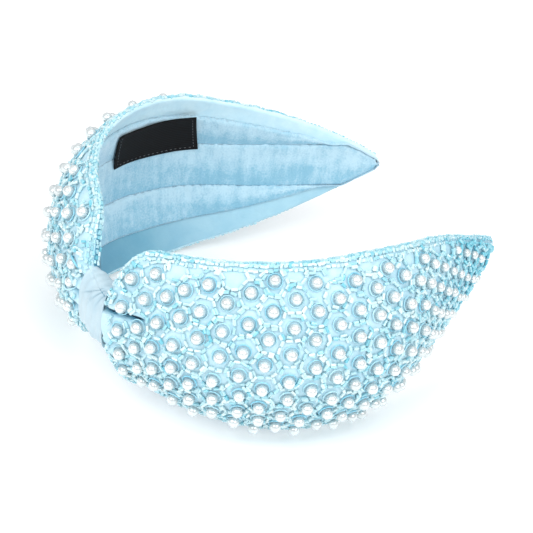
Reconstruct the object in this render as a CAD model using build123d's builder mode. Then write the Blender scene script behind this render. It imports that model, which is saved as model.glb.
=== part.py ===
"""Padded headband, pinched at the crown by a wrapped strap, beaded outside, velvet lined.

It lies on its lower edge: +Z is up, across the band's width.  The origin is on
the inner face in the middle of the crown, and +X runs from there to the two
tips.  The left arm is on the +Y side.
"""
import os
from math import asin, cos, exp, pi, radians, sin, sqrt

from build123d import *

os.makedirs("parts", exist_ok=True)

# Plan of the band, along its inner face from the crown to a tip (mm, degrees)
arm_length = 195.0
crown_radius = 107.0
crown_reach = 20.0
side_radius = 58.8
side_turn = 105.4

# Outline and thickness of the padded band
across_radius = 54.8
widest_width = 73.5
widest_at = 95.0
crown_width = 19.0
crown_taper = 152.0
gather_start = 2.0
gather_reach = 11.0
tip_overrun = 3.0
tip_radius = 3.2
full_thickness = 5.2
tip_thickness = 3.7
edge_thickness = 2.6

# Cloth, padding and the moulded band inside
cloth = 0.6
layer_gap = 0.1
seam_gap = 0.2
plastic_thickness = 1.4
plastic_share = 0.60
plastic_tip_radius = 2.2
tip_hem = 7.0

# Velvet ribbons and label on the head side
velvet_thickness = 1.0
velvet_puff = 0.5
velvet_share = 0.69
velvet_tip_margin = 1.0
ribbon_base = 2.4
ribbon_share = 0.20
hem_lap = 1.5
side_ribbon_least = 0.6
label_length = 38.0
label_width = 16.5
label_thickness = 0.4
label_gap = 0.3
label_start = 84.0
label_low = 4.5

# Strap round the crown
wrap_width = 13.0
wrap_thickness = 2.4
wrap_edge_thickness = 1.2
wrap_clearance = 0.2

# Pearls in a hexagonal lattice, and the bead rows along the edges
pearl_diameter = 4.5
pearl_pitch = 9.0
pearl_first = 12.0
pearl_edge_margin = 5.5
pearl_tip_margin = 6.5
pearl_gap = 0.1
pearl_ring_height = 0.4
pearl_row_limit = 5
bead_width = 1.6
bead_height = 1.3
bead_edge_margin = 1.6
bead_crown_margin = 2.0
bead_tip_margin = 8.0

# Sections drawn along an arm, and the shortest run between two of them
section_count = 25
shortest_run = 1.5


def plan_turn(s):
    """Heading of the band at a length s from the crown, in radians."""
    turned = max(abs(s) - crown_reach, 0) / side_radius
    bend = min(abs(s), crown_reach) / crown_radius + min(turned, radians(side_turn))
    return bend if s >= 0 else -bend


def plan_point(s):
    """Middle line of the inner face: a flat arc, a round arc, then a straight run."""
    bend = min(abs(s), crown_reach) / crown_radius
    heading = abs(plan_turn(s))
    straight = max(abs(s) - crown_reach - side_radius * radians(side_turn), 0)
    x = crown_radius * (1 - cos(bend)) + side_radius * (cos(bend) - cos(heading))
    y = crown_radius * sin(bend) + side_radius * (sin(heading) - sin(bend))
    x += straight * sin(heading)
    y += straight * cos(heading)
    return x, y if s >= 0 else -y


def band_plane(s):
    """Plane square to the band at a length s: local x points outward, local y up."""
    x, y = plan_point(s)
    turn = plan_turn(s)
    outward = (-cos(turn), sin(turn), 0)
    return Plane(origin=(x, y, 0), x_dir=outward, z_dir=(sin(turn), cos(turn), 0))


def half_width(s):
    """Half of the band's width round its inner face: a leaf, gathered at the crown."""
    s = abs(s)
    half = widest_width / 2
    if s > widest_at:
        run = (s - widest_at) / (arm_length + tip_overrun - widest_at)
        return half * (1 - run**1.75)
    leaf = half * (1 - ((widest_at - s) / crown_taper) ** 2)
    leaf_at_crown = half * (1 - (widest_at / crown_taper) ** 2)
    opened = max(s - gather_start, 0) / gather_reach
    return leaf * (1 - (1 - crown_width / 2 / leaf_at_crown) * exp(-(opened**1.6)))


def thickness(s):
    """Thickness of the padded band at its middle line."""
    share = 2 * half_width(s) / widest_width
    return tip_thickness + (full_thickness - tip_thickness) * share**0.6


def ribbon_half(s):
    """Half of the middle velvet ribbon's width."""
    return min(ribbon_base + ribbon_share * half_width(s), half_width(s) - velvet_tip_margin)


def across(depth, w):
    """Local point at a depth outside the inner face, at a length w round that face."""
    turn = w / across_radius
    radius = across_radius + depth
    return radius * cos(turn) - across_radius, radius * sin(turn)


def outer_arc(s):
    """Centre, radius and half length of the outer face's arc in the section at s."""
    edge_x, edge_y = across(edge_thickness, half_width(s))
    rise = thickness(s) - edge_x
    radius = (rise**2 + edge_y**2) / (2 * rise)
    return thickness(s) - radius, radius, radius * asin(edge_y / radius)


def outer_point(s, v, height):
    """Local point at a height over the outer face, at a length v round that face."""
    centre, radius, _ = outer_arc(s)
    return centre + (radius + height) * cos(v / radius), (radius + height) * sin(v / radius)


def crescent(s, inset=0.0, near=None):
    """Section of the padded band, moved inward by inset, or outward where it is negative."""
    near = inset if near is None else near
    far = edge_thickness - inset
    high = half_width(s) - inset
    with BuildSketch(band_plane(s)) as section:
        with BuildLine():
            ThreePointArc(across(near, -high), across(near, 0), across(near, high))
            Line(across(near, high), across(far, high))
            ThreePointArc(across(far, high), across(thickness(s) - inset, 0), across(far, -high))
            Line(across(far, -high), across(near, -high))
        make_face()
    return section.sketch


def sheet(s, low, high, near, far):
    """Section of a sheet between two lengths round the band and two depths."""
    middle = (low + high) / 2
    with BuildSketch(band_plane(s)) as section:
        with BuildLine():
            ThreePointArc(across(near, low), across(near, middle), across(near, high))
            Line(across(near, high), across(far, high))
            ThreePointArc(across(far, high), across(far, middle), across(far, low))
            Line(across(far, low), across(near, low))
        make_face()
    return section.sketch


def ribbon(s, low, high):
    """Section of a velvet ribbon, fuller along its middle on the head side."""
    far = -layer_gap
    near = far - velvet_thickness
    with BuildSketch(band_plane(s)) as section:
        with BuildLine():
            Polyline(
                across(near, low),
                across(near - velvet_puff, (low + high) / 2),
                across(near, high),
                across(far, high),
                across(far, (low + high) / 2),
                across(far, low),
                close=True,
            )
        make_face()
    return section.sketch


def bead_row(s):
    """Section of a bead row beside the upper edge of the outer face."""
    high = outer_arc(s)[2] - bead_edge_margin
    low = high - bead_width
    top = layer_gap + bead_height
    corners = [(low, layer_gap), (low, top), (high, top), (high, layer_gap)]
    with BuildSketch(band_plane(s)) as section:
        with BuildLine():
            Polyline(*[outer_point(s, v, height) for v, height in corners], close=True)
        make_face()
    return section.sketch


def stations(first, last):
    """Lengths of a layer's sections, at the same places for all layers, closer at both ends."""
    places = [arm_length * (1 - cos(pi * i / section_count)) / 2 for i in range(section_count)]
    between = [s for s in places if first + shortest_run < s < last - shortest_run]
    return [first, *between, last]


def layer(sections, mode=Mode.ADD):
    """Straight-ruled loft through a layer's sections."""
    loft(sections, ruled=True, mode=mode)


def round_tip(end, radius):
    """Solid to cut from a layer of the left arm so that its tip ends round at a length."""
    middle = band_plane(end - radius)
    with BuildPart() as corners:
        with BuildSketch(Plane(origin=middle.origin, x_dir=middle.z_dir, z_dir=-middle.x_dir)):
            Rectangle(2 * radius, 4 * radius, align=(Align.MIN, Align.CENTER))
            Circle(radius, mode=Mode.SUBTRACT)
        extrude(amount=2 * full_thickness, both=True)
    return corners.part


def save(part, name):
    """Label a finished piece and write its file."""
    part.label = name
    export_step(part, f"parts/{name}.step")


# Moulded band, one piece from tip to tip
plastic_end = arm_length - tip_radius - layer_gap


plastic_near = cloth + layer_gap
plastic_far = plastic_near + plastic_thickness


def plastic_section(s):
    half = plastic_share * half_width(s)
    return sheet(s, -half, half, plastic_near, plastic_far)


def plastic_room(s):
    half = plastic_share * half_width(s) + layer_gap
    return sheet(s, -half, half, -plastic_near, plastic_far + layer_gap)


with BuildPart() as plastic_band:
    layer([plastic_section(s) for s in stations(0, plastic_end)])
    add(round_tip(plastic_end, plastic_tip_radius), mode=Mode.SUBTRACT)
    mirror(about=Plane.XZ)
save(plastic_band.part, "plastic_band")

# Foam over the outside and past the edges of the moulded band
with BuildPart() as foam_pad_left:
    layer([crescent(s, cloth + layer_gap) for s in stations(seam_gap, plastic_end)])
    layer([plastic_room(s) for s in stations(0, plastic_end + layer_gap)], Mode.SUBTRACT)
save(foam_pad_left.part, "foam_pad_left")

with BuildPart() as foam_pad_right:
    mirror(foam_pad_left.part, about=Plane.XZ)
save(foam_pad_right.part, "foam_pad_right")


# Satin covers, turned over the edges and hemmed on the head side
def hem_opening(s):
    half = ribbon_half(s) - hem_lap
    return sheet(s, -half, half, -cloth, 1.5 * cloth)


with BuildPart() as cover_left:
    layer([crescent(s) for s in stations(seam_gap / 2, arm_length)])
    layer([crescent(s, cloth) for s in stations(0, arm_length - tip_radius)], Mode.SUBTRACT)
    layer([hem_opening(s) for s in stations(0, arm_length - tip_hem)], Mode.SUBTRACT)
    add(round_tip(arm_length, tip_radius), mode=Mode.SUBTRACT)
save(cover_left.part, "cover_left")

with BuildPart() as cover_right:
    mirror(cover_left.part, about=Plane.XZ)
save(cover_right.part, "cover_right")

# Velvet: a middle ribbon over the hems and a narrower one on each side of it
velvet_end = arm_length - velvet_tip_margin
with BuildPart() as velvet_middle:
    layer([ribbon(s, -ribbon_half(s), ribbon_half(s)) for s in stations(0, velvet_end)])
    add(round_tip(velvet_end, tip_radius - velvet_tip_margin), mode=Mode.SUBTRACT)
    mirror(about=Plane.XZ)
save(velvet_middle.part, "velvet_middle")


def side_ribbon_edges(s):
    return ribbon_half(s) + 2 * layer_gap, velvet_share * half_width(s)


def side_ribbon_end():
    """Length at which a side ribbon has run out of width."""
    s = arm_length
    while side_ribbon_edges(s)[1] - side_ribbon_edges(s)[0] < side_ribbon_least:
        s -= 1
    return s


with BuildPart() as velvet_upper:
    layer([ribbon(s, *side_ribbon_edges(s)) for s in stations(0, side_ribbon_end())])
    mirror(about=Plane.XZ)
save(velvet_upper.part, "velvet_upper")

with BuildPart() as velvet_lower:
    mirror(velvet_upper.part, about=Plane.XY)
save(velvet_lower.part, "velvet_lower")

# Bare woven label over the middle and upper velvet of the left arm
lining_depth = layer_gap + velvet_thickness + velvet_puff
with BuildPart() as woven_label:
    far = -lining_depth - label_gap
    layer(
        [
            sheet(s, label_low, label_low + label_width, far - label_thickness, far)
            for s in stations(label_start, label_start + label_length)
        ]
    )
save(woven_label.part, "woven_label")


# Strap wrapped round the crown, fuller along its middle
def wrap_section(s, outward):
    return crescent(s, -outward, near=-lining_depth - outward)


def wrap_fullness(s):
    swell = (wrap_thickness - wrap_edge_thickness) * cos(pi * s / wrap_width)
    return wrap_clearance + wrap_edge_thickness + swell


wrap_stations = [wrap_width * share for share in (-0.5, -0.25, 0, 0.25, 0.5)]
hole_stations = [wrap_width * share for share in (-0.55, -0.44, 0, 0.44, 0.55)]
with BuildPart() as knot_wrap:
    layer([wrap_section(s, wrap_fullness(s)) for s in wrap_stations])
    layer([wrap_section(s, wrap_clearance) for s in hole_stations], Mode.SUBTRACT)
save(knot_wrap.part, "knot_wrap")

# Bead rows beside the upper and lower edges of both covers
bead_start = wrap_width / 2 + bead_crown_margin
with BuildPart() as edge_beads_upper_left:
    layer([bead_row(s) for s in stations(bead_start, arm_length - bead_tip_margin)])
save(edge_beads_upper_left.part, "edge_beads_upper_left")

with BuildPart() as edge_beads_upper_right:
    mirror(edge_beads_upper_left.part, about=Plane.XZ)
save(edge_beads_upper_right.part, "edge_beads_upper_right")

with BuildPart() as edge_beads_lower_left:
    mirror(edge_beads_upper_left.part, about=Plane.XY)
save(edge_beads_lower_left.part, "edge_beads_lower_left")

with BuildPart() as edge_beads_lower_right:
    mirror(edge_beads_upper_right.part, about=Plane.XY)
save(edge_beads_lower_right.part, "edge_beads_lower_right")


# Pearls, one node per zigzag row of the lattice
def pearl_columns():
    """Lengths of the lattice's columns, evenly spaced over the outer face."""
    s, columns = pearl_first, []
    while s < arm_length - pearl_tip_margin:
        columns.append(s)
        curvature = (plan_turn(s + 1) - plan_turn(s - 1)) / 2
        s += pearl_pitch * sqrt(3) / 2 / (1 + thickness(s) * curvature)
    return columns


def pearl_seats(row):
    """Planes of the pearls of one row: every second column is half a pitch higher."""
    seats = []
    for index, s in enumerate(pearl_columns()):
        v = pearl_pitch * (row + (index % 2) / 2)
        if abs(v) > outer_arc(s)[2] - pearl_edge_margin:
            continue
        x, y = outer_point(s, v, pearl_gap + pearl_diameter / 2)
        seats.append(band_plane(s).location * Pos(x, y, 0))
    return seats


def pearl_corners():
    """Corners of a sixteen-faced ball the size of a pearl: two poles and two square rings."""
    rings = [(pearl_ring_height, 0), (-pearl_ring_height, pi / 4)]
    corners = [(0, 0, 1), (0, 0, -1)]
    for height, turn in rings:
        girth = sqrt(1 - height**2)
        for corner in range(4):
            angle = turn + corner * pi / 2
            corners.append((girth * cos(angle), girth * sin(angle), height))
    return [tuple(pearl_diameter / 2 * value for value in corner) for corner in corners]


for row in range(-pearl_row_limit, pearl_row_limit):
    seats = pearl_seats(row)
    if not seats:
        continue
    with BuildPart() as pearls_left:
        with Locations(*seats):
            ConvexPolyhedron(pearl_corners())
    save(pearls_left.part, f"pearls_left_row_{row + pearl_row_limit}")
    with BuildPart() as pearls_right:
        mirror(pearls_left.part, about=Plane.XZ)
    save(pearls_right.part, f"pearls_right_row_{row + pearl_row_limit}")
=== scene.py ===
"""Padded satin headband with a wrapped crown, a beaded outside and a velvet lining.

Axes are the frame's own: +Z is up, across the band, the crown's inner face is at the
origin and +X runs from it to the two tips.  Shapes are worked out in millimetres as
functions of s, the length along the band from the crown (plus to the left arm, minus
to the right), and of v or w, the length round the outer or inner face from its middle.
"""

import bpy
import numpy as np
from mathutils import Matrix, Vector


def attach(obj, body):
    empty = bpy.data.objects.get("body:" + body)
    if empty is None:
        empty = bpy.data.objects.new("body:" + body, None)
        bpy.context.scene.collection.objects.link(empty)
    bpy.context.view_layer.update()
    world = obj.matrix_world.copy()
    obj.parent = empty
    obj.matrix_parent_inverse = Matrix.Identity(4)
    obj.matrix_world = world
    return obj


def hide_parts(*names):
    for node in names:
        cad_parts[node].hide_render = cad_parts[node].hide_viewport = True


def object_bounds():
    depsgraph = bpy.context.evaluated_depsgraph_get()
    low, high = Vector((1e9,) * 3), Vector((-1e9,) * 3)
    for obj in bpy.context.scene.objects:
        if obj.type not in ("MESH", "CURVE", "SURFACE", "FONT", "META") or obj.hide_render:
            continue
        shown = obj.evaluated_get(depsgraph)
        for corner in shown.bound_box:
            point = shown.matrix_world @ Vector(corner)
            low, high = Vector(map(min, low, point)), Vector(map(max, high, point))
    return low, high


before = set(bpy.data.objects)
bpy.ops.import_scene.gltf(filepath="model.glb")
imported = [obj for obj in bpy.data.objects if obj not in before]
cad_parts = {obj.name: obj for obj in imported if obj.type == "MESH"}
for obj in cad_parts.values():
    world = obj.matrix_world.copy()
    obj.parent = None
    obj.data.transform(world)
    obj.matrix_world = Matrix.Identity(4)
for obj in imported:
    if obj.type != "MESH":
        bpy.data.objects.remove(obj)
cad_low, cad_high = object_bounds()
MM = 0.001
chance = np.random.default_rng(11)

# Plan, widths and thicknesses of the band in millimetres; shares have no unit
arm_length = 193.4
crown_radius = 107.0
crown_reach = 20.0
side_radius = 58.8
side_turn = np.radians(105.4)
across_radius = 54.8
widest_width = 73.5
widest_at = 95.0
crown_width = 16.4
crown_taper = 152.0
tip_overrun = 3.0
tip_radius = 1.8
full_thickness = 5.2
tip_thickness = 3.7

# The padding is thinner along the edges and on the outer half of each arm, the crown
# lies lower than the arms, and the two arms differ a little in height and in reach
pressed_thickness = 3.2
tip_thinning = 0.8
edge_thickness = 1.6
crown_sag = 2.2
left_tuck = 0.08
right_tuck = 0.095
right_outer_tuck = 0.04
left_droop = 1.2
left_reach = 3.4
right_reach = -2.0
right_tip_lift = 2.0

# Cloth is gathered tightly under the strap and opens quickly beside it
gather_start = 5.2
gather_reach = {1: 6.3, -1: 4.5}
bulge_height = 2.2
pleat_depth = 0.9
cell_height = 0.14
fold_width = 0.8
net_shift = {1: 0.2, -1: 2.2}

# Lining, label and strap
layer_gap = 0.1
velvet_thickness = 1.0
velvet_puff = 0.5
velvet_share = 0.69
velvet_tip_margin = 1.0
ribbon_tuck = 0.7
ribbon_base = 2.4
ribbon_share = 0.20
ribbon_tip_half = 9.2
label_length = 38.0
label_width = 17.8
label_start = 84.4
label_low = 6.2
label_slant = 4.0
label_rise = 2.0
label_thickness = 0.35
wrap_width = 13.0
wrap_thickness = 2.3
wrap_edge_thickness = 1.1
strap_edge = wrap_width / 2

# Pearls and beads
pearl_radius = 1.98
pearl_radius_fall = 0.42
pearl_lift_share = 0.72
pearl_pitch = 9.0
pearl_first = 12.0
pearl_edge_margin = 5.5
pearl_tip_margin = 6.5
pearl_drift = 0.28
cup_shares = (1.27, 1.27, 1.8)
cup_lift = 0.2
lattice_shrink = 0.12
bugle_length = 2.35
bugle_radius = 0.58
edge_bead_length = 1.55
edge_bead_radius = 0.64
bead_end_margin = 3.0
double_row_share = 0.6
single_row_share = 0.97
bead_gap = 0.25
rim_bead_gap = 0.15
angle_drift = 0.16


def eased(x, low, high):
    """Nought below low, one above high, and a smooth cubic step between them."""
    t = np.clip((x - low) / (high - low), 0, 1)
    return t * t * (3 - 2 * t)


def band_line(s):
    """Middle line of the inner face: a flat arc, a round arc, then a straight run.

    Gives x, y and the heading, each an array like s."""
    run = np.abs(s)
    flat = np.minimum(run, crown_reach) / crown_radius
    heading = flat + np.clip((run - crown_reach) / side_radius, 0, side_turn)
    straight = np.maximum(run - crown_reach - side_radius * side_turn, 0)
    x = crown_radius * (1 - np.cos(flat)) + side_radius * (np.cos(flat) - np.cos(heading))
    y = crown_radius * np.sin(flat) + side_radius * (np.sin(heading) - np.sin(flat))
    side = np.where(s < 0, -1, 1)
    return (
        x + straight * np.sin(heading),
        side * (y + straight * np.cos(heading)),
        side * heading,
    )


def settled(s, up):
    """Heights as the band lies: points below the middle line are nearer to it by a
    share that eases along each arm, the crown is lower by a bell curve, the left arm
    falls towards its tip and the right tip rises."""
    run, left = np.abs(s), s > 0
    tuck = np.where(left, left_tuck * (1 - eased(run, 50, 120)),
                    right_tuck * eased(run, 8, 22)
                    + right_outer_tuck * eased(run, 110, 140))
    up = np.where(up < 0, up * (1 - tuck), up)
    sag = crown_sag * np.exp(-((s / np.where(left, 8, 13)) ** 2))
    lift = np.where(left, -left_droop * eased(run, 60, 150),
                    right_tip_lift * eased(run, 162, 193))
    return up - sag + lift


def place(s, out, up):
    """Points of the band at length s, out from the inner face's middle line and up.

    The straight end of the left arm lies a little longer, and the right one's shorter."""
    reach = np.where(s > 0, left_reach, right_reach) * eased(np.abs(s), 125, 190)
    x, y, turn = band_line(s + np.sign(s) * reach)
    up = settled(s, up)
    x, y, up = np.broadcast_arrays(x - out * np.cos(turn), y + out * np.sin(turn), up)
    return np.stack([x, y, up], axis=-1)


def half_width(s):
    """Half width round the inner face: a parabolic leaf, gathered at the crown by
    one minus a stretched exponential, with a fuller curve and a round end at the tip."""
    run = np.abs(s)
    half = widest_width / 2
    past = np.clip((run - widest_at) / (arm_length + tip_overrun - widest_at), 0, 1)
    leaf = half * (1 - ((widest_at - run) / crown_taper) ** 2)
    at_crown = half * (1 - (widest_at / crown_taper) ** 2)
    spread = np.where(s > 0, gather_reach[1], gather_reach[-1])
    opened = np.maximum(run - gather_start, 0) / spread
    gathered = leaf * (1 - (1 - crown_width / 2 / at_crown) * np.exp(-(opened**1.6)))
    width = np.where(run > widest_at, half * (1 - past**1.75), gathered)
    into_tip = np.clip((run - arm_length + tip_radius) / tip_radius, 0, 1)
    rounded = np.minimum(width, tip_radius * np.sqrt(1 - into_tip**2))
    return np.where(into_tip > 0, rounded, width)


def thickness(s):
    """Thickness at the middle line, growing with the 0.6 power of the width, and
    blended to the pressed thickness along the outer half of each arm and thinned at
    the tip."""
    share = 2 * half_width(s) / widest_width
    padded = tip_thickness + (full_thickness - tip_thickness) * share**0.6
    pressed = padded + (pressed_thickness - padded) * eased(np.abs(s), 70, 135)
    return pressed - tip_thinning * eased(np.abs(s), 180, 192)


def across(depth, w):
    """Out and up of a point at a depth outside the inner face's arc, at a length w."""
    turn = w / across_radius
    radius = across_radius + depth
    return radius * np.cos(turn) - across_radius, radius * np.sin(turn)


def outer_arc(s):
    """Centre, radius and half length of the outer face's arc in the section at s."""
    edge_out, edge_up = across(edge_thickness, half_width(s))
    rise = np.minimum(thickness(s) - edge_out, 0.9 * edge_up + 0.01)
    radius = (rise**2 + edge_up**2) / (2 * rise)
    return edge_out + rise - radius, radius, radius * np.arcsin(edge_up / radius)


def pearl_columns():
    """Lengths of the lattice's columns, evenly spaced over the outer face."""
    s, columns = pearl_first, []
    while s < arm_length - pearl_tip_margin:
        columns.append(s)
        curvature = (band_line(s + 1.0)[2] - band_line(s - 1.0)[2]) / 2
        s += pearl_pitch * np.sqrt(3) / 2 / (1 + thickness(s) * curvature)
    return np.array(columns)


columns = pearl_columns()


def cell_puff(run, v):
    """Satin fuller in each cell of the net and pulled down at its beads: the sum of
    three cosines along the directions of the hexagonal lattice."""
    column = np.interp(run, columns, np.arange(len(columns)))
    row = v / pearl_pitch
    waves = np.cos(2 * np.pi * column) + np.cos(2 * np.pi * (column / 2 + row))
    waves = waves + np.cos(2 * np.pi * (column / 2 - row))
    return cell_height * waves * eased(run, 9, 16) * (1 - eased(run, 184, 192))


# Deep folds in the satin beside the strap: arm, height at the strap, fall in mm per mm
# along the band, where each ends, and its depth
folds = [
    (-1, 4.3, -0.12, 25, 3.4),
    (-1, -6.8, 0.35, 13, 1.0),
    (1, 6.2, -0.30, 16, 1.9),
    (1, 1.2, 0.05, 18, 2.2),
    (1, -4.6, 0.30, 15, 1.8),
]


def folded(s, v):
    """Depth of the folds: narrow bell curves across lines that leave the strap."""
    run, depth = np.abs(s), 0.0
    for side, start, fall, end, deep in folds:
        bell = np.exp(-(((v - start + fall * (run - strap_edge)) / fold_width) ** 2))
        span = eased(run, 5.5, 6.8) * (1 - eased(run, end - 6, end))
        depth = depth + deep * bell * span * (np.sign(s) == side)
    return depth


def gathers(s, v):
    """Pleats fanning out of the strap, sines over the share of the width that fade
    with the length, with the folds and the satin's swell beside the strap."""
    run, share = np.abs(s), v / np.maximum(half_width(s), 1)
    side = np.where(s < 0, -1.0, 1.0)
    fade = eased(run, strap_edge, 10) * np.exp(-np.maximum(run - strap_edge, 0) / 8)
    ridges = np.sin(9.5 * share + 1.1 * side + 0.04 * run)
    ridges = ridges + 0.6 * np.sin(17 * share - 2 * side + 0.1 * run)
    bulge = eased(run, 4.6, 6.6) * (1 - eased(run, 9, 22))
    return pleat_depth * fade * ridges - folded(s, v) + bulge_height * bulge


def outer_face(s, v, height):
    """Point of the outer face at a height over it, with its pleats and cells."""
    centre, radius, _ = outer_arc(s)
    level = radius + height + gathers(s, v) + cell_puff(np.abs(s), v)
    return place(s, centre + level * np.cos(v / radius), level * np.sin(v / radius))


def inner_face(s, w, depth):
    """Point at a depth outside the inner face, minus being on the head's side."""
    return place(s, *across(depth, w))


# Meshes
def put_mesh(name, points, faces, smooth=True, uv=None, tint_and_painted_light=None):
    """Mesh object from points in millimetres and an array of triangles or quads.

    The faces are turned over where the sum of their signed tetrahedra is negative,
    so that they point outwards."""
    points = np.asarray(points, float).reshape(-1, 3)
    faces = np.asarray(faces, np.int64)
    a, b, c = (points[faces[:, i]] for i in (0, 1, 2))
    volume = np.einsum("ij,ij->i", a, np.cross(b, c)).sum()
    if faces.shape[1] == 4:
        d = points[faces[:, 3]]
        volume += np.einsum("ij,ij->i", a, np.cross(c, d)).sum()
    if volume < 0:
        faces = faces[:, ::-1]
    mesh = bpy.data.meshes.new(name)
    mesh.vertices.add(len(points))
    mesh.vertices.foreach_set("co", (points * MM).astype(np.float32).ravel())
    mesh.loops.add(faces.size)
    mesh.loops.foreach_set("vertex_index", faces.astype(np.int32).ravel())
    mesh.polygons.add(len(faces))
    mesh.polygons.foreach_set("loop_start", np.arange(0, faces.size, faces.shape[1]))
    mesh.update(calc_edges=True)
    mesh.polygons.foreach_set("use_smooth", np.full(len(faces), smooth))
    if uv is not None:
        layer = mesh.uv_layers.new(name="cloth")
        layer.data.foreach_set("uv", uv.reshape(-1, 2)[faces.ravel()].astype(np.float32).ravel())
    if tint_and_painted_light is not None:
        shade = mesh.attributes.new("tint_and_painted_light", "FLOAT", "POINT")
        shade.data.foreach_set("value", tint_and_painted_light.astype(np.float32).ravel())
    mesh.validate()
    piece = bpy.data.objects.new(name, mesh)
    bpy.context.scene.collection.objects.link(piece)
    return piece


def grid_faces(rows, count, wrap_rows=False, wrap_columns=False):
    """Quads of a grid of points, closed on itself in either direction."""
    i = np.arange(rows if wrap_rows else rows - 1)[:, None]
    j = np.arange(count if wrap_columns else count - 1)[None, :]
    ni, nj = (i + 1) % rows, (j + 1) % count
    corners = (i * count + j, ni * count + j, ni * count + nj, i * count + nj)
    return np.stack([np.broadcast_to(c, (i.size, j.size)) for c in corners], -1).reshape(-1, 4)


def tube_mesh(name, loops, uv=None, tint_and_painted_light=None):
    """Closed skin through a stack of closed loops, with a fan of quads over each end."""
    rows, count, _ = loops.shape
    faces = grid_faces(rows, count, wrap_columns=True)
    half = count // 2
    k = np.arange(half - 1)
    lid = np.stack([k, k + 1, count - 2 - k, count - 1 - k], -1)
    last = (rows - 1) * count
    faces = np.concatenate([faces, lid, (lid + last)[:, ::-1]])
    return put_mesh(name, loops, faces, uv=uv, tint_and_painted_light=tint_and_painted_light)


def scatter(name, shape, centres, axes, sizes, smooth, tint_and_painted_light=None):
    """Copies of one small shape: each is scaled along its own three axes, turned
    by them and moved to its centre, all as one array product."""
    corners, triangles = shape
    count = len(centres)
    points = np.einsum("kj,nj,nji->nki", corners, sizes, axes) + centres[:, None, :]
    faces = triangles[None] + (np.arange(count) * len(corners))[:, None, None]
    shades = None if tint_and_painted_light is None else np.repeat(tint_and_painted_light, len(corners))
    return put_mesh(name, points, faces.reshape(-1, 3), smooth, tint_and_painted_light=shades)


def surface_axes(run, v, side, angle):
    """Axes of a bead that lies on the outer face at an angle to the band's length:
    its own line, the line square to it, and the face's normal, from differences."""
    step = 0.4
    s = side * run
    along = outer_face(s + side * step, v, 0) - outer_face(s - side * step, v, 0)
    up = outer_face(s, v + step, 0) - outer_face(s, v - step, 0)
    along /= np.linalg.norm(along, axis=-1, keepdims=True)
    up /= np.linalg.norm(up, axis=-1, keepdims=True)
    normal = side * np.cross(along, up)
    normal *= np.sign((normal * (place(s, 9.0, 0 * v) - place(s, 0.0, 0 * v))).sum(-1))[:, None]
    normal /= np.linalg.norm(normal, axis=-1, keepdims=True)
    line = np.cos(angle)[:, None] * along + np.sin(angle)[:, None] * up
    line /= np.linalg.norm(line, axis=-1, keepdims=True)
    square = np.cross(normal, line)
    square /= np.linalg.norm(square, axis=-1, keepdims=True)
    return np.stack([line, square, np.cross(line, square)], axis=1)


def ball_shape():
    """Unit ball of eighty triangles: an icosahedron whose sides are halved once."""
    g = (1 + 5**0.5) / 2
    base = [(-1, g, 0), (1, g, 0), (-1, -g, 0), (1, -g, 0), (0, -1, g), (0, 1, g)]
    base += [(0, -1, -g), (0, 1, -g), (g, 0, -1), (g, 0, 1), (-g, 0, -1), (-g, 0, 1)]
    points = np.array(base, float) / np.sqrt(1 + g * g)
    gaps = np.linalg.norm(points[:, None] - points[None], axis=-1)
    near = gaps < 1.1
    i, j, k = np.nonzero(near[:, :, None] & near[None, :, :] & near[:, None, :])
    keep = (i < j) & (j < k)
    sides = np.stack([i, j, k], -1)[keep]
    corners = points[sides]
    middles = (corners + np.roll(corners, -1, axis=1)) / 2
    middles /= np.linalg.norm(middles, axis=-1, keepdims=True)
    a, b, c = (corners[:, n] for n in range(3))
    ab, bc, ca = (middles[:, n] for n in range(3))
    quarters = [(a, ab, ca), (b, bc, ab), (c, ca, bc), (ab, bc, ca)]
    soup = np.concatenate([np.stack(q, 1) for q in quarters])
    normals = np.cross(soup[:, 1] - soup[:, 0], soup[:, 2] - soup[:, 0])
    facing = np.einsum("ij,ij->i", normals, soup.sum(1))
    soup[facing < 0] = soup[facing < 0][:, ::-1]
    flat = np.round(soup.reshape(-1, 3), 6)
    unique, index = np.unique(flat, axis=0, return_inverse=True)
    return unique, index.reshape(-1, 3)


def prism_shape(sides=6):
    """Unit prism along its first axis, with a small chamfer at both ends."""
    turn = (np.arange(sides) + 0.5) * 2 * np.pi / sides
    rings = [(-0.5, 0.72), (-0.42, 1.0), (0.42, 1.0), (0.5, 0.72)]
    corners = np.concatenate(
        [np.stack([np.full(sides, x), r * np.cos(turn), r * np.sin(turn)], -1) for x, r in rings]
    )
    quads = grid_faces(len(rings), sides, wrap_columns=True)
    triangles = np.concatenate([quads[:, [0, 2, 1]], quads[:, [0, 3, 2]]])
    k = np.arange(1, sides - 1)
    cap = np.stack([0 * k, k + 1, k], -1)
    far = np.stack([0 * k, k, k + 1], -1) + (len(rings) - 1) * sides
    return corners, np.concatenate([triangles, cap, far])


def ring_shape(count=14, girth=4, tube=0.1):
    """Unit ring round its third axis, of a thin round section."""
    turn = np.arange(count)[:, None] * 2 * np.pi / count
    roll = np.arange(girth)[None, :] * 2 * np.pi / girth
    reach = 1 + tube * np.cos(roll)
    x, y, z = np.broadcast_arrays(reach * np.cos(turn), reach * np.sin(turn), tube * np.sin(roll))
    quads = grid_faces(count, girth, True, True)
    return (
        np.stack([x, y, z], -1).reshape(-1, 3),
        np.concatenate([quads[:, [0, 1, 2]], quads[:, [0, 2, 3]]]),
    )


# Materials
def linear(code):
    """Linear colour of an sRGB hex value."""
    value = np.array([int(code[i : i + 2], 16) for i in (1, 3, 5)]) / 255
    value = np.where(value <= 0.04045, value / 12.92, ((value + 0.055) / 1.055) ** 2.4)
    return (*value.tolist(), 1.0)


def add_node(tree, kind, values=(), links=(), **settings):
    """Add a node with its settings, its sockets' values and its links."""
    node = tree.nodes.new(kind)
    for key, value in settings.items():
        setattr(node, key, value)
    for socket, value in dict(values).items():
        node.inputs[socket].default_value = value
    for socket, source in dict(links).items():
        tree.links.new(source, node.inputs[socket])
    return node


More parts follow.
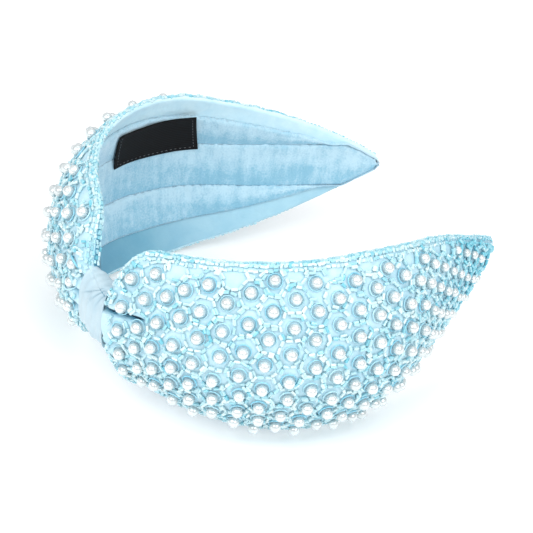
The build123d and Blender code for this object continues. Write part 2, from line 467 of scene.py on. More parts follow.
def new_material(name, shader_values):
    """Material with one Principled shader. Gives it, its node tree and the shader."""
    material = bpy.data.materials.new(name)
    material.use_nodes = True
    tree = material.node_tree
    shader = tree.nodes["Principled BSDF"]
    for socket, value in shader_values.items():
        shader.inputs[socket].default_value = value
    return material, tree, shader


def ramp_of(tree, source, stops):
    """Colour ramp over a value, from (place, hex colour) stops."""
    ramp = add_node(tree, "ShaderNodeValToRGB", links={"Fac": source})
    elements = ramp.color_ramp.elements
    while len(elements) < len(stops):
        elements.new(0.5)
    for element, (at, code) in zip(elements, stops):
        element.position = at
        element.color = linear(code)
    return ramp.outputs["Color"]


def woven_satin(name, pale, deep):
    """Polyester satin, woven and piece-dyed: long floats give it a soft directional
    gloss, with fine creases where it is pulled over the padding."""
    material, tree, shader = new_material(
        name,
        {"Roughness": 0.45, "IOR": 1.5, "Sheen Weight": 0.25, "Sheen Roughness": 0.35,
         "Specular IOR Level": 0.45},
    )
    at = add_node(tree, "ShaderNodeTexCoord").outputs["Object"]
    cloud = add_node(tree, "ShaderNodeTexNoise", {"Scale": 90, "Detail": 4, "Roughness": 0.6},
                     {"Vector": at})
    colour = ramp_of(tree, cloud.outputs["Fac"], [(0.3, deep), (0.62, pale)])
    # Painted light and shade carried by each point's value: 0.8 on the outside, a painted
    # shadow down to nought in the folds beside the strap, painted shade on the inner face near
    # the crown, painted light up to one on the lining's upper margin, and painted shade along
    # the strap's pleats and lap
    tint_and_painted_light = add_node(tree, "ShaderNodeAttribute", attribute_name="tint_and_painted_light")
    shaded = ramp_of(tree, tint_and_painted_light.outputs["Fac"],
                     [(0.0, "#0F3A50"), (0.08, "#5C93A9"), (0.5, "#94BCCA"), (0.8, "#E7EEF1"),
                      (1.0, "#FFFFFF")])
    toned = add_node(tree, "ShaderNodeMix", {"Factor": 1.0}, data_type="RGBA",
                     blend_type="MULTIPLY")
    tree.links.new(colour, toned.inputs[6])
    tree.links.new(shaded, toned.inputs[7])
    tree.links.new(toned.outputs[2], shader.inputs["Base Color"])
    # Threads are 0.1 mm apart, too fine to show, and are drawn about 0.9 mm apart
    threads = add_node(tree, "ShaderNodeTexWave", {"Scale": 400, "Distortion": 1.5},
                       {"Vector": at}, bands_direction="DIAGONAL")
    creases = add_node(tree, "ShaderNodeTexNoise", {"Scale": 220, "Detail": 5, "Distortion": 0.8},
                       {"Vector": at})
    fine = add_node(tree, "ShaderNodeBump", {"Strength": 0.12, "Distance": 0.0001},
                    {"Height": threads.outputs["Fac"]})
    bump = add_node(tree, "ShaderNodeBump", {"Strength": 0.5, "Distance": 0.0006},
                    {"Height": creases.outputs["Fac"], "Normal": fine.outputs["Normal"]})
    tree.links.new(bump.outputs["Normal"], shader.inputs["Normal"])
    return material


def pile_velvet(name):
    """Knitted velvet ribbon: the brushed pile scatters light at its rim, lies in
    streaks across the ribbon and is lighter towards the upper edge."""
    material, tree, shader = new_material(
        name,
        {"Roughness": 0.95, "Sheen Weight": 0.9, "Sheen Roughness": 0.45,
         "Sheen Tint": linear("#EAF7FF"), "Specular IOR Level": 0.1},
    )
    along = add_node(tree, "ShaderNodeUVMap", uv_map="cloth").outputs["UV"]
    # UV is the length along the ribbon in metres and the share across it
    streaked = add_node(tree, "ShaderNodeMapping", {"Scale": (330, 1.6, 1)}, {"Vector": along})
    streaks = add_node(tree, "ShaderNodeTexNoise", {"Scale": 1, "Detail": 3, "Roughness": 0.6},
                       {"Vector": streaked.outputs["Vector"]})
    broad = add_node(tree, "ShaderNodeMapping", {"Scale": (70, 2.5, 1)}, {"Vector": along})
    patches = add_node(tree, "ShaderNodeTexNoise", {"Scale": 1, "Detail": 4, "Distortion": 0.6},
                       {"Vector": broad.outputs["Vector"]})
    share = add_node(tree, "ShaderNodeSeparateXYZ", links={"Vector": along}).outputs["Y"]
    frayed = add_node(tree, "ShaderNodeMath", {1: 0.55}, {0: streaks.outputs["Fac"]},
                      operation="MULTIPLY")
    mixed = add_node(tree, "ShaderNodeMath", {1: 0.45, 2: 0.0},
                     {0: patches.outputs["Fac"], 2: frayed.outputs["Value"]},
                     operation="MULTIPLY_ADD")
    at = add_node(tree, "ShaderNodeTexCoord").outputs["Object"]
    tufts = add_node(tree, "ShaderNodeTexNoise", {"Scale": 1500, "Detail": 2}, {"Vector": at})
    tufted = add_node(tree, "ShaderNodeMath", {1: 0.4},
                      {0: tufts.outputs["Fac"], 2: mixed.outputs["Value"]},
                      operation="MULTIPLY_ADD")
    # The colour is lighter towards the upper edge of each ribbon
    raised = add_node(tree, "ShaderNodeMath", {1: 0.3}, {0: share, 2: tufted.outputs["Value"]},
                      operation="MULTIPLY_ADD")
    colour = ramp_of(tree, raised.outputs["Value"],
                     [(0.4, "#72AAC3"), (0.72, "#8BBBD0"), (1.0, "#B9D7E4")])
    tree.links.new(colour, shader.inputs["Base Color"])
    bump = add_node(tree, "ShaderNodeBump", {"Strength": 0.6, "Distance": 0.0004},
                    {"Height": tufts.outputs["Fac"]})
    tree.links.new(bump.outputs["Normal"], shader.inputs["Normal"])
    return material


def woven_label(name):
    """Black damask label cloth: a close polyester weave, matt with fine ribs."""
    material, tree, shader = new_material(
        name, {"Roughness": 0.8, "Specular IOR Level": 0.15}
    )
    along = add_node(tree, "ShaderNodeUVMap", uv_map="cloth").outputs["UV"]
    # Ribs are 0.2 mm apart, drawn 1 mm apart
    ribs = add_node(tree, "ShaderNodeTexWave", {"Scale": 320, "Distortion": 0.4},
                    {"Vector": along}, bands_direction="Y")
    shade = ramp_of(tree, ribs.outputs["Fac"], [(0.0, "#0B0B0C"), (1.0, "#18181A")])
    tree.links.new(shade, shader.inputs["Base Color"])
    bump = add_node(tree, "ShaderNodeBump", {"Strength": 0.35, "Distance": 0.0001},
                    {"Height": ribs.outputs["Fac"]})
    tree.links.new(bump.outputs["Normal"], shader.inputs["Normal"])
    return material


def coated_pearl(name):
    """Acrylic pearl with a nacre lacquer: a smooth gloss over a soft white body."""
    material, tree, shader = new_material(
        name,
        {"Base Color": linear("#D9DFE0"), "Roughness": 0.13, "IOR": 1.55, "Metallic": 0.45,
         "Coat Weight": 1.0, "Coat Roughness": 0.04},
    )
    at = add_node(tree, "ShaderNodeTexCoord").outputs["Object"]
    cloud = add_node(tree, "ShaderNodeTexNoise", {"Scale": 160, "Detail": 2}, {"Vector": at})
    colour = ramp_of(tree, cloud.outputs["Fac"], [(0.3, "#CFD7D8"), (0.7, "#E3EAEB")])
    tree.links.new(colour, shader.inputs["Base Color"])
    return material


def cut_glass(name, deep, pale, through):
    """Pressed glass beads in pale aqua, mostly opaque, with a hard bright gloss.

    Each bead's own value moves it between the two colours; where the pale colour is near white,
    the palest beads are painted glints."""
    material, tree, shader = new_material(
        name,
        {"Roughness": 0.1, "IOR": 1.52, "Transmission Weight": through,
         "Specular IOR Level": 0.7, "Coat Weight": 0.5, "Coat Roughness": 0.04},
    )
    tint_and_painted_light = add_node(tree, "ShaderNodeAttribute", attribute_name="tint_and_painted_light")
    colour = ramp_of(tree, tint_and_painted_light.outputs["Fac"], [(0.0, deep), (1.0, pale)])
    tree.links.new(colour, shader.inputs["Base Color"])
    return material


def plain_finish(name, code, roughness, grain_scale, grain_depth):
    """One colour with a fine grain: moulded plastic, thread or painted board."""
    material, tree, shader = new_material(
        name, {"Base Color": linear(code), "Roughness": roughness}
    )
    at = add_node(tree, "ShaderNodeTexCoord").outputs["Object"]
    grain = add_node(tree, "ShaderNodeTexNoise", {"Scale": grain_scale, "Detail": 2},
                     {"Vector": at})
    bump = add_node(tree, "ShaderNodeBump", {"Strength": 0.3, "Distance": grain_depth},
                    {"Height": grain.outputs["Fac"]})
    tree.links.new(bump.outputs["Normal"], shader.inputs["Normal"])
    return material


satin = woven_satin("woven_satin", "#D8F2FA", "#C4E7F4")
strap_satin = woven_satin("strap_satin", "#BBD0D9", "#ABC5D2")
velvet = pile_velvet("pile_velvet")
label_cloth = woven_label("label_damask")
pearl = coated_pearl("coated_pearl")
# Net and edge beads vary at random between these two colours: the aqua ones in real colour, the
# near-white ones as painted glints
glass = cut_glass("cut_glass", "#80D4E6", "#E8FBFD", 0.15)
cup_glass = cut_glass("bead_cup_glass", "#84D3EC", "#BFECF8", 0.1)
grey_thread = plain_finish("polyester_thread", "#5E6062", 0.6, 3000, 0.00005)
moulded = plain_finish("moulded_polypropylene", "#E9EEF0", 0.45, 800, 0.00003)


def keep(piece, material, slot, nodes=()):
    """Give a piece its material and its body, and hide the solid model's parts that it stands for.
    The slot is not used.
    """
    piece.data.materials.clear()
    piece.data.materials.append(material)
    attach(piece, "root")
    if nodes:
        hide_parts(*nodes)
    return piece


# Satin covers, one on each arm, with the foam inside them
def rim_depth(s):
    """How far the round of an edge reaches in from it, less near the tip."""
    return np.minimum(1.25, 0.45 * half_width(s))


def rim_point(s, sign, turn):
    """Point of the half ellipse that joins the outer face (no turn) to the inner face
    (half a turn) round the upper or the lower edge."""
    edge, half = rim_depth(s), half_width(s)
    first = outer_face(s, sign * (outer_arc(s)[2] - edge), 0)
    last = inner_face(s, sign * (half - edge), 0)
    lean = half / across_radius
    bulge = place(s, -edge * np.sin(lean), sign * edge * np.cos(lean))
    bulge = bulge - place(s, 0 * edge, 0 * edge)
    turn = np.asarray(turn)[..., None]
    return (first + last) / 2 + np.cos(turn) * (first - last) / 2 + np.sin(turn) * bulge


# Points of a cover's section on its outer face, inner face and each edge. The inner
# face's painted light and shade begin on the upper edge, lightest there, and end on the lower one
outer_count, inner_count, edge_count = 110, 48, 10
lit_first, lit_count = outer_count + 4, inner_count + 8
tip_close = 1.2
margin_ripple = 0.45
# Folds deeper than this, in mm, get a painted shadow that is nearly black
painted_shadow_fold_depth = 2.1


def cover_loops(side):
    """Closed sections of a cover: the outer face, an elliptic upper edge, the inner
    face, and an elliptic lower edge, drawn in to a point at the very tip by the square
    root of one minus a square."""
    run = np.unique(np.concatenate(
        [np.linspace(0.1, 30, 100), np.linspace(30, 188, 190), np.linspace(188, arm_length, 34)]
    ))[:, None]
    s = side * run
    half, reach = half_width(s), outer_arc(s)[2]
    edge = rim_depth(s)
    v = (reach - edge) * np.linspace(-1, 1, outer_count)[None, :]
    outside = outer_face(s, v, 0)
    w = (half - edge) * np.linspace(1, -1, inner_count)[None, :]
    margin = margin_ripple * np.sin(w / 2.6 + 0.13 * run)
    margin = margin * np.exp(-np.maximum(run - strap_edge, 0) / 11)
    inside = inner_face(s, w, margin - 0.25 * eased(run, 60, 6))
    turn = np.linspace(0, np.pi, edge_count + 2)[None, 1:-1]
    top = rim_point(s, 1, turn)
    low = rim_point(s, -1, turn)[:, ::-1]
    loops = np.concatenate([outside, top, inside, low], axis=1)
    last = np.clip((run - arm_length + tip_close) / tip_close, 0, 1)[:, :, None]
    heart = place(s, edge_thickness / 2, 0 * s)
    # Painted light and shade: darker towards the tip; on the inner face, painted shade near the
    # crown and painted light strongest at the upper margin; a painted shadow in the folds
    tint_and_painted_light = 0.8 - 0.22 * eased(run, 120, 185) + np.zeros(loops.shape[:2])
    head = slice(lit_first, lit_first + lit_count)
    upper = np.linspace(1, 0, lit_count) ** 2
    lit = 0.13 + 0.42 * eased(run, 50, 140) + 0.75 * upper
    tint_and_painted_light[:, head] = np.minimum(0.1 + eased(run, 8, 45) * lit, 1)
    deep = folded(s, v)
    tint_and_painted_light[:, :outer_count] -= np.clip(0.12 * deep + 3 * np.maximum(deep - painted_shadow_fold_depth, 0), 0, 1)
    return heart + (loops - heart) * np.sqrt(1 - 0.999 * last**2), tint_and_painted_light


for side, arm in ((1, "left"), (-1, "right")):
    loops, tint_and_painted_light = cover_loops(side)
    cover = tube_mesh(f"satin_cover_{arm}", loops, tint_and_painted_light=tint_and_painted_light.ravel())
    keep(cover, satin, "satin", [f"cover_{arm}", f"foam_pad_{arm}"])


# Velvet ribbons
def ribbon_half(s):
    """Half width of the middle ribbon, which keeps its width where the band tapers."""
    half = ribbon_base + ribbon_share * half_width(s)
    half = half + (ribbon_tip_half - half) * eased(np.abs(s), 100, 150)
    return np.minimum(half, np.maximum(half_width(s) - velvet_tip_margin, 0.05))


ribbon_count = 22


def ribbon_loops(s, low, high, phase):
    """Closed sections of a ribbon: on the head's side a parabolic rise to the middle
    and a tenth-power fall beyond it, whose pile swells along the length, over a flat
    back."""
    t = np.linspace(0, 1, ribbon_count)[None, :]
    frill = 0.4 * np.sin(s * 2.9 + phase) * np.sin(s * 1.13 + 2 * phase)
    frill = (frill + chance.normal(0, 0.16, s.shape)) * np.minimum((high - low) / 4, 1)
    w = low + (high - low) * t + frill * t**8
    fall = 0.5 + 0.5 * (1 - (1 - 2 * t) ** 2)
    crown = np.where(t < 0.5, fall, (1 - np.abs(2 * t - 1) ** 10) ** 0.5)
    crown = crown * (0.5 + 0.5 * eased(np.abs(s), 6, 13))
    swell = 1 + 0.1 * np.sin(s * 0.31 + phase + 3 * t) + 0.07 * np.sin(s * 0.83 + 5 * t)
    head = inner_face(s, w, -layer_gap - (velvet_thickness + velvet_puff) * crown * swell)
    back = inner_face(s, w[:, ::-1], -0.02 + 0 * w)
    return np.concatenate([head, back[:, 1:-1]], axis=1)


def ribbon_uv(s, count):
    """Length along the ribbon in metres, and the share across it on both faces."""
    t = np.linspace(0, 1, ribbon_count)
    t = np.concatenate([t, np.linspace(1, 0, ribbon_count)[1:-1]])
    return np.stack(np.broadcast_arrays(s * MM, t[None, :count]), axis=-1)


def ribbon(name, node, first, low, high, phase):
    """A ribbon from end to end, with its pile."""
    s = np.linspace(-first, first, 520)[:, None]
    loops = ribbon_loops(s, low(s), high(s), phase)
    piece = tube_mesh(name, loops, ribbon_uv(s, loops.shape[1]))
    keep(piece, velvet, "velvet", [node])
    return piece


def tucked(s):
    """Share of a ribbon's lower edge that is tucked under its neighbour: none at the tip."""
    return 1 - eased(np.abs(s), 150, 178)


def side_low(s):
    """Inner edge of a side ribbon, where the middle ribbon ends."""
    return ribbon_half(s) + 0.05


def side_high(s):
    """Outer edge of a side ribbon, at a fixed share of the half width."""
    return np.maximum(velvet_share * half_width(s), side_low(s) + 0.2)


ribbon_end = arm_length - velvet_tip_margin
ribbon("velvet_ribbon_middle", "velvet_middle", ribbon_end,
       lambda s: -ribbon_half(s) - ribbon_tuck * tucked(s), ribbon_half, 0.4)
runs = np.arange(100, arm_length, 0.5)
side_end = runs[(velvet_share * half_width(runs) - side_low(runs)) > 0.4].max()
ribbon("velvet_ribbon_upper", "velvet_upper", side_end,
       lambda s: side_low(s) - ribbon_tuck * tucked(s), side_high, 1.7)
ribbon("velvet_ribbon_lower", "velvet_lower", side_end,
       lambda s: -side_high(s), lambda s: -side_low(s), 2.9)


# Bare label, stitched to the ribbons along three sides
lining = layer_gap + velvet_thickness + velvet_puff
label_lift = lining + 0.2


def label_point(a, b, depth):
    """Point of the label at the shares a along it and b up it, slightly askew."""
    s = label_start + label_length * a + label_slant * (0.5 - b)
    w = label_low + label_width * b + label_rise * (a - 0.5)
    ripple = 0.25 * np.sin(9 * a + 2 * b) + 0.2 * np.cos(6 * b)
    return inner_face(s, w, -label_lift - label_thickness + ripple * 0.5 - depth)


def label_mesh():
    """The label's two faces and rim as one closed skin."""
    a, b = np.linspace(0, 1, 70), np.linspace(0, 1, 34)
    near = label_point(a[:, None], b[None, :], label_thickness)
    far = label_point(a[:, None], b[None, ::-1], 0.0)
    loops = np.concatenate([near, far], axis=1)
    wide = np.concatenate([b, b[::-1]]) * label_width * MM
    uv = np.stack(np.broadcast_arrays(a[:, None] * label_length * MM, wide[None, :]), -1)
    return tube_mesh("bare_label", loops, uv)


label = keep(label_mesh(), label_cloth, "label", ["woven_label"])


def stitch_row(first, last, count):
    """Centres and axes of a row of short stitches between two points of the label."""
    t = (np.arange(count) + 0.5) / count
    a = first[0] + (last[0] - first[0]) * t
    b = first[1] + (last[1] - first[1]) * t
    centres = label_point(a, b, 0.42)
    step_a, step_b = (last[0] - first[0]) / count / 2, (last[1] - first[1]) / count / 2
    line = label_point(a + step_a, b + step_b, 0.4) - label_point(a - step_a, b - step_b, 0.4)
    line /= np.linalg.norm(line, axis=-1, keepdims=True)
    square = np.cross(line, [0.3, 0.5, 0.8])
    square /= np.linalg.norm(square, axis=-1, keepdims=True)
    return centres, np.stack([line, square, np.cross(line, square)], axis=1)


rows = [stitch_row(*row) for row in (((0.045, 0.06), (0.045, 0.94), 10),
                                     ((0.955, 0.06), (0.955, 0.94), 10),
                                     ((0.06, 0.07), (0.94, 0.07), 17))]
centres = np.concatenate([row[0] for row in rows])
axes = np.concatenate([row[1] for row in rows])
stitches = scatter("label_stitches", prism_shape(5), centres, axes,
                   np.tile([0.7, 0.12, 0.12], (len(centres), 1)), True)
keep(stitches, grey_thread, "label")


# Strap wrapped round the crown
# Each pleat's start across the strap, its slope in mm per radian, and its depth
strap_pleats = [(-5.9, 3.2, 0.32), (-5.3, 6.0, 0.38), (-4.5, 10.0, 0.26)]
pleat_width, swell_width, swell_offset = 0.3, 0.7, 0.9
lap_height = 0.6
strap_low_share = 1.15


def strap_points():
    """Ring of padded satin: a superellipse round the gathered band, lifted by the
    strap's own thickness, with pleats that fan from one corner and a lapped end."""
    t = np.linspace(-np.pi, np.pi, 300, endpoint=False)[:, None]
    q = np.linspace(0, 2 * np.pi, 110, endpoint=False)[None, :]
    s = strap_edge * np.sign(np.cos(q)) * np.abs(np.cos(q)) ** 0.8
    crowned = 1 - (2 * s / wrap_width) ** 2
    full = wrap_edge_thickness + (wrap_thickness - wrap_edge_thickness) * crowned
    lift = 0.15 + full * (0.5 + 0.5 * np.sign(np.sin(q)) * np.abs(np.sin(q)) ** 0.55)
    # The shadow is painted shade: darker along each pleat's crease on the outer side and along the
    # edge of the lap
    pleats, shadow = 0.0, 0.0
    for start, slope, deep in strap_pleats:
        off = s - start - slope * (1.2 - t)
        pleats = pleats - deep * np.exp(-((off / pleat_width) ** 2))
        pleats = pleats + 0.5 * deep * np.exp(-(((off - swell_offset) / swell_width) ** 2))
        shadow = shadow + np.exp(-(((off + 0.1) / 0.35) ** 2))
    there = eased(t, -0.1, 0.8) * (1 - eased(t, 1.1, 1.3))
    pleats, shadow = pleats * there, shadow * there * np.maximum(np.sin(q), 0) ** 0.5
    shadow = shadow + np.exp(-(((t - 1.16 - 0.05 * s) / 0.03) ** 2)) * eased(-s, 0, 3)
    under = np.exp(-(((s - 1.5 + 2.2 * np.sin(t)) / 1.1) ** 2)) * 0.15
    lap = lap_height * eased(t, 1.18 + 0.05 * s, 1.24 + 0.05 * s)
    lap = lap * (1 - eased(t, 2.0, 2.9))
    soft = 0.12 * np.sin(2.1 * s + 3 * t) + 0.1 * np.sin(5 * t + s)
    outer = np.maximum(np.sin(q), 0) ** 0.3
    lift = lift + outer * (pleats - under + lap + soft)
    half, body = half_width(s), thickness(s)
    near, far = 0.5 * lining + 0.4, body + 0.4 + 0.8 * (s / strap_edge) ** 4
    middle, rise, tall = (far - near) / 2, (far + near) / 2, 0.97 * half + 0.1
    power = 2 / 2.5
    cos_t, sin_t = np.cos(t), np.sin(t)
    out = middle + (rise + lift) * np.sign(cos_t) * np.abs(cos_t) ** power
    up = (tall + lift) * np.sign(sin_t) * np.abs(sin_t) ** power
    up = up * np.where(sin_t < 0, strap_low_share, 1)
    return place(s + 0 * t, out, up), np.clip(1 - 0.35 * shadow, 0.3, 1)


# The second value is the strap's painted shade along its pleats and lap
strap_grid, strap_painted_shade = strap_points()
strap = put_mesh("wrapped_strap", strap_grid, grid_faces(*strap_grid.shape[:2], True, True),
                 tint_and_painted_light=strap_painted_shade.ravel())
keep(strap, strap_satin, "strap_satin", ["knot_wrap"])


# Pearls, each in a glass cup, and the hexagonal net of bugle beads round them
def pearl_size(run):
    """Pearl radius: 4 mm pearls on the body of each arm, 3 mm ones towards the tip."""
    return pearl_radius - pearl_radius_fall * eased(run, 105, 165)


def lattice(side, margin, first_column, last_column):
    """Seats of the lattice: column, length, height round the face, and the shrink of
    lengths there, kept where they are within the margin of the edges."""
    index = np.arange(first_column, last_column)
    gap = np.diff(columns)
    run = np.interp(index, np.arange(len(columns)), columns)
    run = run + np.where(index < 0, index * gap[0], 0)
    run = run + np.where(index >= len(columns), (index - len(columns) + 1) * gap[-1], 0)
    run = run + net_shift[side] * (1 - eased(run, pearl_first, 42))
    run = run - lattice_shrink * np.maximum(run - 120, 0)
    shrink = np.gradient(run) / (pearl_pitch * np.sqrt(3) / 2)
    row = np.arange(-5, 5)[None, :]
    v = pearl_pitch * (row + (index[:, None] % 2) / 2)
    run, shrink = run[:, None], shrink[:, None]
    run, shrink, row = (np.broadcast_to(x, v.shape) for x in (run, shrink, row))
    fits = np.abs(v) <= outer_arc(side * run)[2] - margin
    return run[fits], v[fits], shrink[fits], row[fits]


ball, prism, cup = ball_shape(), prism_shape(6), ring_shape()
block = prism_shape(4)
first_row = -(int(widest_width / 2 / pearl_pitch) + 1)
for side, arm in ((1, "left"), (-1, "right")):
    run, v, shrink, row = lattice(side, pearl_edge_margin, 0, len(columns))
    drift = chance.normal(0, pearl_drift, (2, len(run)))
    run, v = run + drift[0], v + drift[1]
    axes = surface_axes(run, v, side, chance.uniform(0, 6, len(run)))
    seat = outer_face(side * run, v, 0)
    for number in range(1, 9):
        mine = row == number + first_row
        varied = chance.uniform(0.96, 1.03, (mine.sum(), 1))
        size = pearl_size(run[mine])[:, None] * varied * np.ones(3)
        centres = seat[mine] + axes[mine, 2] * (pearl_lift_share * size[:, :1])
        balls = scatter(f"pearl_row_{arm}_{number}", ball, centres, axes[mine], size, True)
        keep(balls, pearl, "pearl", [f"pearls_{arm}_row_{number}"])
    cups = scatter(f"pearl_cups_{arm}", cup, seat + axes[:, 2] * cup_lift, axes,
                   pearl_size(run)[:, None] * np.array(cup_shares), True,
                   chance.uniform(0, 1, len(run)))
    keep(cups, cup_glass, "glass_beads")


def net_begin(side, v):
    """Length at which the net begins: close to the strap, with satin left bare between
    the pleats on the left arm and below the deep fold on the right one."""
    if side > 0:
        return 7.6 + 2.4 * np.abs(np.sin(0.5 * v + 0.6)) ** 3
    return 7.9 + 2.6 * (1 - eased(v, 3, 6.5))


def net_beads(side):
    """Bugle beads end to end along the sides of every cell, many sides with a second
    row beside the first: run, height, angle, length, thickness and lift of each."""
    run, v, shrink, _ = lattice(side, -3.0, -1, len(columns) + 2)
    radius = pearl_pitch / np.sqrt(3)
    cell_sides = [(0.0, pearl_pitch / 2, 0.0), (0.75 * radius, pearl_pitch / 4, 2 * np.pi / 3),
                  (0.75 * radius, -pearl_pitch / 4, np.pi / 3)]
    made = []
    for along, up, angle in cell_sides:
        for second, shift in ((0, -0.5), (0, 0.5), (1, -0.45), (1, 0.5)):
            turned = angle + chance.normal(0, angle_drift, len(run))
            beside = second * (0.95 + chance.normal(0, 0.15, len(run)))
            beside = beside * np.where(chance.random(len(run)) < 0.5, 1, -1)
            offset = shift * (bugle_length + bead_gap) + chance.normal(0, 0.16, len(run))
            dx = along + offset * np.cos(turned) - beside * np.sin(angle)
            dy = up + offset * np.sin(turned) + beside * np.cos(angle)
            long = bugle_length * chance.uniform(0.75, 1.05, len(run))
            wide = bugle_radius * chance.uniform(0.85, 1.15, len(run))
            raised = wide + 0.05 + second * chance.uniform(0, 0.35, len(run))
            there = chance.random(len(run)) < (double_row_share if second else single_row_share)
            bead = np.stack([run + dx * shrink, v + dy, turned, long, wide, raised], -1)
            made.append(bead[there])
    beads = np.concatenate(made)
    at, height = beads[:, 0], beads[:, 1]
    inside = np.abs(height) < outer_arc(side * at)[2] - 2.6
    inside &= (at > net_begin(side, height)) & (folded(side * at, height) < 0.5)
    return beads[inside & (at < arm_length - bead_end_margin)]


def edge_runs(side, first, last, spacing):
    """Lengths along the band of points evenly spaced on an edge's own curve, each a
    little off its place, and how much smaller the beads are made towards the tip."""
    run = np.linspace(first, last, 4000)
    line = place(side * run, 0 * run, half_width(side * run))
    way = np.append(0, np.cumsum(np.linalg.norm(np.diff(line, axis=0), axis=1)))
    even = np.interp(np.arange(0, way[-1], spacing), way, run)
    return even + chance.normal(0, 0.1, len(even)), 1 - 0.35 * eased(even, 120, 180)


def edge_beads(side, sign):
    """Short square beads packed along an edge of the face, in two rows that follow its
    slope, a quarter of them set square to their row."""
    made = []
    for inset in (2.5, 1.0):
        run, scale = edge_runs(side, strap_edge + 0.9, arm_length - bead_end_margin,
                               edge_bead_length + bead_gap)
        reach = outer_arc(side * run)[2]
        slope = outer_arc(side * (run + 0.5))[2] - outer_arc(side * (run - 0.5))[2]
        angle = sign * np.arctan(slope) + chance.normal(0, 0.22, len(run))
        angle = angle + np.where(chance.random(len(run)) < 0.25, np.pi / 2, 0)
        v = sign * (reach - (inset + chance.uniform(0, 0.4, len(run))) * np.hypot(1, slope))
        long = scale * edge_bead_length * chance.uniform(0.8, 1.15, len(run))
        wide = scale * edge_bead_radius * chance.uniform(0.8, 1.1, len(run))
        made.append(np.stack([run, v, angle, long, wide, 0.7 * wide], -1))
    return np.concatenate(made)


def rim_beads(side, sign):
    """Centres, axes and sizes of the square beads sewn round an edge: two rows as long
    as the arm and two short ones beside the strap."""
    made = []
    whole = arm_length - 1.5
    for turn, last in ((0.3, whole), (0.95, whole), (1.6, 66), (2.2, 44)):
        run, scale = edge_runs(side, strap_edge + 0.6, last, edge_bead_length + rim_bead_gap)
        turned = turn + chance.normal(0, 0.12, len(run))
        s = side * run
        at = rim_point(s, sign, turned)
        before, after = side * (run - 0.4), side * (run + 0.4)
        along = rim_point(after, sign, turned) - rim_point(before, sign, turned)
        flat, back_turn = 0 * turned, 0 * turned + np.pi
        out = at - (rim_point(s, sign, flat) + rim_point(s, sign, back_turn)) / 2
        along = along / np.linalg.norm(along, axis=-1, keepdims=True)
        out = out - (out * along).sum(-1, keepdims=True) * along
        out = out / np.linalg.norm(out, axis=-1, keepdims=True)
        square = np.cross(out, along)
        spin = chance.normal(0, 0.25, len(run))[:, None]
        line = np.cos(spin) * along + np.sin(spin) * square
        axes = np.stack([line, np.cross(out, line), out], axis=1)
        wide = 0.9 * scale * edge_bead_radius * chance.uniform(0.8, 1.1, len(run))
        long = scale * edge_bead_length * chance.uniform(0.7, 1.1, len(run))
        made.append((at + out * 0.35 * wide[:, None], axes, np.stack([long, wide, wide], -1)))
    return [np.concatenate(part) for part in zip(*made)]


def sew_beads(name, shape, side, beads, nodes=()):
    """Scatter beads given as run, height, angle, length, thickness and lift."""
    run, v, angle, long, wide, raised = beads.T
    axes = surface_axes(run, v, side, angle)
    centres = outer_face(side * run, v, 0) + axes[:, 2] * raised[:, None]
    # Each bead's value is random, for real colour differences and for painted glints where it
    # comes near the pale colour, and is darker towards the tip
    piece = scatter(name, shape, centres, axes, np.stack([long, wide, wide], -1), False,
                    np.clip(chance.normal(0.6, 0.26, len(run)) - 0.6 * eased(run, 120, 180), 0, 1))
    return keep(piece, glass, "glass_beads", nodes)


for side, arm in ((1, "left"), (-1, "right")):
    sew_beads(f"bugle_net_{arm}", prism, side, net_beads(side))
    for sign, edge in ((1, "upper"), (-1, "lower")):
        sew_beads(f"edge_bead_row_{edge}_{arm}", block, side, edge_beads(side, sign),
                  [f"edge_beads_{edge}_{arm}"])
        centres, axes, sizes = rim_beads(side, sign)
        # Random values between the glass's colours: real colour differences, and painted glints
        # near the pale one
        rim_row = scatter(f"rim_beads_{edge}_{arm}", block, centres, axes, sizes, False,
                          np.clip(chance.normal(0.5, 0.25, len(centres)), 0, 1))
        keep(rim_row, glass, "glass_beads")

# The moulded band stays as the solid model has it, inside the covers
moulded_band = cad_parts["plastic_band"].data
moulded_band.materials.clear()
moulded_band.materials.append(moulded)

# Studio: pale floor, soft light, and the camera above the front of the right arm
low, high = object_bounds()
floor_mesh = bpy.data.meshes.new("studio_floor")
floor_half = 6.0
floor_corners = [(x * floor_half, y * floor_half, low.z)
                 for x, y in ((-1, -1), (1, -1), (1, 1), (-1, 1))]
floor_mesh.from_pydata(floor_corners, [], [(0, 1, 2, 3)])
floor = bpy.data.objects.new("studio_floor", floor_mesh)
bpy.context.scene.collection.objects.link(floor)
painted = plain_finish("painted_board", "#FAFAFA", 0.9, 40, 0.0002)
painted_inputs = painted.node_tree.nodes["Principled BSDF"].inputs
painted_inputs["Emission Color"].default_value = (1, 1, 1, 1)
painted_inputs["Emission Strength"].default_value = 0.1
floor_mesh.materials.append(painted)

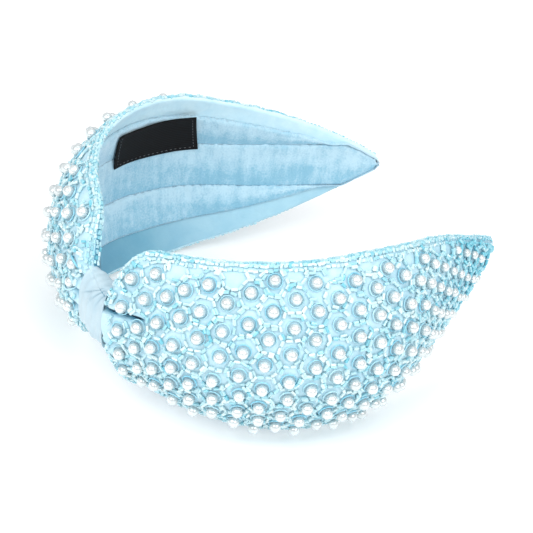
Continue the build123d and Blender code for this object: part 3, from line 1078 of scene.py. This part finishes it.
# Angles of the camera in degrees, its distance in metres, and how far the band's
# middle lies from the middle of the view
azimuth, elevation, roll = np.radians([-42.52, 31.6, 8.47])
camera_distance = 0.700
centre_forward, aim_left, aim_down = 0.0055, 0.0059, 0.0075
back = np.array([np.sin(azimuth) * np.cos(elevation), -np.cos(azimuth) * np.cos(elevation),
                 np.sin(elevation)])
level = np.array([np.cos(azimuth), np.sin(azimuth), 0.0])
upright = np.cross(back, level)
right = np.cos(roll) * level + np.sin(roll) * upright
above = np.cos(roll) * upright - np.sin(roll) * level
centre = np.array([(cad_low.x + cad_high.x) / 2 + centre_forward, 0.0, 0.0])
eye = centre + camera_distance * back
aim = centre - aim_left * right - aim_down * above


def looking(origin, target, up):
    """Placement that looks from one point at another with a given upward side."""
    z = Vector(origin - target).normalized()
    x = Vector(up).cross(z).normalized()
    turned = Matrix((x, z.cross(x), z)).transposed().to_4x4()
    return Matrix.Translation(Vector(origin)) @ turned


camera_data = bpy.data.cameras.new("camera")
camera_data.lens = 134.2
camera_data.sensor_width = 36.0
camera = bpy.data.objects.new("camera", camera_data)
camera.matrix_world = looking(eye, aim, above)
bpy.context.scene.collection.objects.link(camera)
bpy.context.scene.camera = camera


def softbox(name, turn, lift, distance, size, power):
    """Area light at a turn and lift from the camera's side, aimed at the band."""
    a, e = azimuth + np.radians(turn), elevation + np.radians(lift)
    away = np.array([np.sin(a) * np.cos(e), -np.cos(a) * np.cos(e), np.sin(e)])
    data = bpy.data.lights.new(name, "AREA")
    data.shape, data.size, data.energy = "SQUARE", size, power
    lamp = bpy.data.objects.new(name, data)
    lamp.matrix_world = looking(centre + distance * away, centre, np.array([0.0, 0.0, 1.0]))
    bpy.context.scene.collection.objects.link(lamp)


softbox("softbox_left", -40, 12, 1.0, 0.72, 5.0)
softbox("softbox_right", 40, 12, 1.0, 0.72, 5.0)
softbox("top_light", 150, 42, 1.5, 1.2, 3.0)

world = bpy.data.worlds.new("studio")
world.use_nodes = True
backdrop = world.node_tree.nodes["Background"].inputs
backdrop["Color"].default_value = linear("#FBFDFF")
backdrop["Strength"].default_value = 0.65
bpy.context.scene.world = world
bpy.context.scene.view_settings.view_transform = "Standard"
